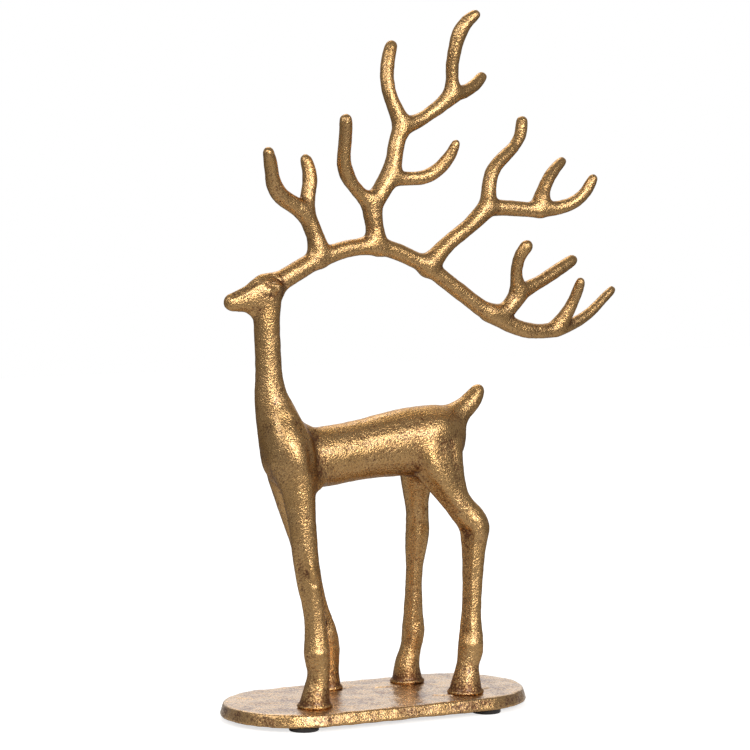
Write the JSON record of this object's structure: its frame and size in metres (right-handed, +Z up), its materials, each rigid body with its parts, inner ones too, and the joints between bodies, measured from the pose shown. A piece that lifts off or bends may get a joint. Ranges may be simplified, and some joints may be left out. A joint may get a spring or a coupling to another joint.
{
  "type": "reindeer figurine",
  "caption": "Slender standing reindeer with tall branching antlers, cast in metal with an antiqued gold finish, on a flat rounded plinth with stick-on pads.",
  "frame": {"origin": "centre, along X and Y, of the box round the whole figurine, at the underside of its pads (the last tine reaches past the plinth, so the plinth's middle is 32.9 mm towards the head from it)", "axes": "+X along the plinth from the head towards the tail, +Y across it away from the viewer's side, +Z up from the pads to the antlers"},
  "size_m": [0.2402, 0.0818, 0.3705],
  "materials": {
    "antique_gold": "sand-cast aluminium with an antiqued gold leaf finish",
    "black_felt": "dark felt on a soft backing"
  },
  "bodies": {
    "root": {"deer_figure": "antique_gold", "base_plate": "antique_gold", "felt_pad_front_near": "black_felt", "felt_pad_front_far": "black_felt", "felt_pad_back_near": "black_felt", "felt_pad_back_far": "black_felt"}
  },
  "joints": []
}
